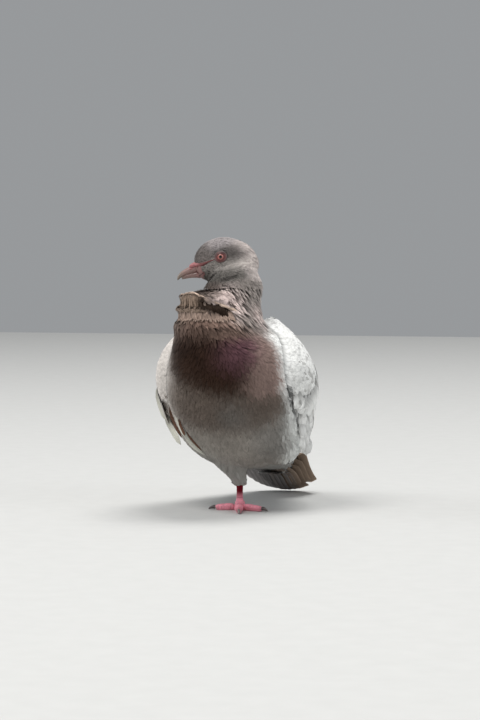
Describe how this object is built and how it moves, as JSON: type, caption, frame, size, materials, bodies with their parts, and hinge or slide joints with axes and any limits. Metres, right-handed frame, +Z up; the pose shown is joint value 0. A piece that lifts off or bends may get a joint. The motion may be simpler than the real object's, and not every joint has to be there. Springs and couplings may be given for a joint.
{
  "type": "feral pigeon, still life-size model",
  "caption": "Life-size still model of a pale feral pigeon standing on one leg, feathers fluffed, head turned to its right.",
  "frame": {"origin": "on the floor, under the ball of the standing right foot", "axes": "+Z up; the bird's body faces -Y and its left side is +X; its head is turned to its right, towards -X"},
  "size_m": [0.129, 0.2279, 0.2189],
  "materials": {
    "plumage_head": "matt, very fine feathers",
    "plumage_neck": "matt, pointed feathers with a faint sheen",
    "plumage_breast": "matt, soft feathers with a faint purple sheen",
    "plumage_body": "matt, loose down",
    "plumage_wing": "matt vanes with grey streaks",
    "plumage_tail": "matt vanes with a pale rim",
    "bill_horn": "satin horn",
    "cere_skin": "fine powdery skin",
    "eyelid_skin": "soft folded skin",
    "eye": "wet gloss",
    "leg_skin": "scaled skin",
    "claw_horn": "satin horn"
  },
  "bodies": {
    "root": {"head": "plumage_head", "neck": "plumage_neck", "breast": "plumage_breast", "trunk": "plumage_body", "rump": "plumage_body", "wing_left_coverts": "plumage_wing", "wing_left_flight": "plumage_wing", "wing_right_coverts": "plumage_wing", "wing_right_flight": "plumage_wing", "tail": "plumage_tail", "thigh_left": "plumage_body", "thigh_right": "plumage_body", "bill_upper": "bill_horn", "bill_lower": "bill_horn", "cere": "cere_skin", "eye_left": "eye", "eye_right": "eye", "shank_right": "leg_skin", "foot_right": "leg_skin", "toe_inner": "leg_skin", "toe_middle": "leg_skin", "toe_outer": "leg_skin", "toe_hind": "leg_skin", "claw_inner": "claw_horn", "claw_middle": "claw_horn", "claw_outer": "claw_horn", "claw_hind": "claw_horn"}
  },
  "joints": []
}
